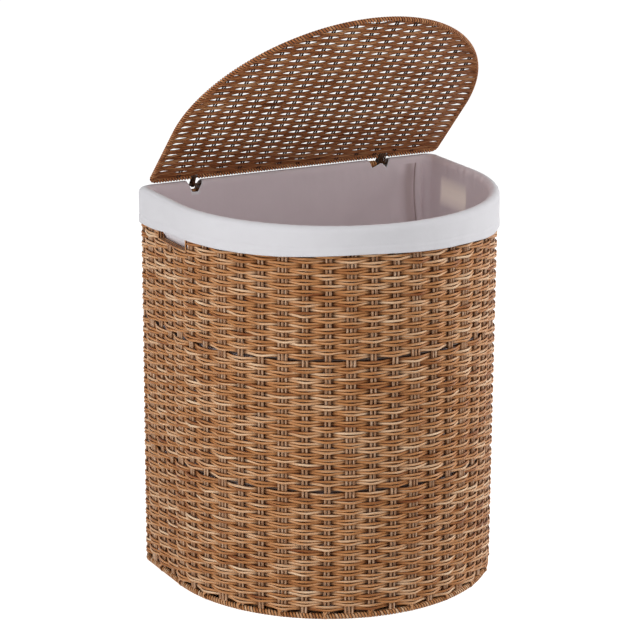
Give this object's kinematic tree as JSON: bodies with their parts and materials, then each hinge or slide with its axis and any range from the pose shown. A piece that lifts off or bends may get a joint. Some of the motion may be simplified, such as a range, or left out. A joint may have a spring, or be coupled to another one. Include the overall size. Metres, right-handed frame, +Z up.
{
  "type": "laundry hamper",
  "caption": "Half-moon woven laundry hamper with a flat back, a hinged woven lid and a cloth liner folded over the rim.",
  "frame": {"origin": "centre of the base on the floor, under the middle of the basket", "axes": "+Z up, +Y towards the flat back where the lid is hinged, -Y towards the bowed front"},
  "size_m": [0.4872, 0.3691, 0.8191],
  "materials": {
    "steel": "brown powder coat",
    "rattan": "satin round synthetic rattan, mid brown with streaks",
    "lid_rattan": "satin round synthetic rattan, red brown",
    "stake": "satin round synthetic rattan, mid brown",
    "cotton": "plain woven cotton, off-white"
  },
  "bodies": {
    "basket": {"top_hoop": "steel", "upper_hoop": "steel", "lower_hoop": "steel", "base_hoop": "steel", "frame_uprights": "steel", "base_ribs": "steel", "base_weave": "rattan", "base_binding": "rattan", "rim_binding": "rattan", "stakes_right": "stake", "stakes_front": "stake", "stakes_left": "stake", "stakes_back": "stake", "weave_lower": "rattan", "weave_middle": "rattan", "weave_upper": "rattan", "handle_edge_right": "rattan", "handle_edge_left": "rattan", "liner_floor": "cotton", "liner_sides": "cotton", "liner_cuff": "cotton", "hinge_loop_left": "rattan", "hinge_loop_right": "rattan"},
    "lid": {"lid_hoop": "steel", "lid_binding": "lid_rattan", "lid_ribs": "steel", "lid_stakes": "stake", "lid_weave": "lid_rattan"}
  },
  "joints": [
    {"name": "lid_hinge", "type": "hinge", "parent": "basket", "child": "lid", "pos_m": [0.006, 0.168, 0.567], "axis": [-1, 0, 0], "range_deg": [-46.1, 134.2]}
  ]
}
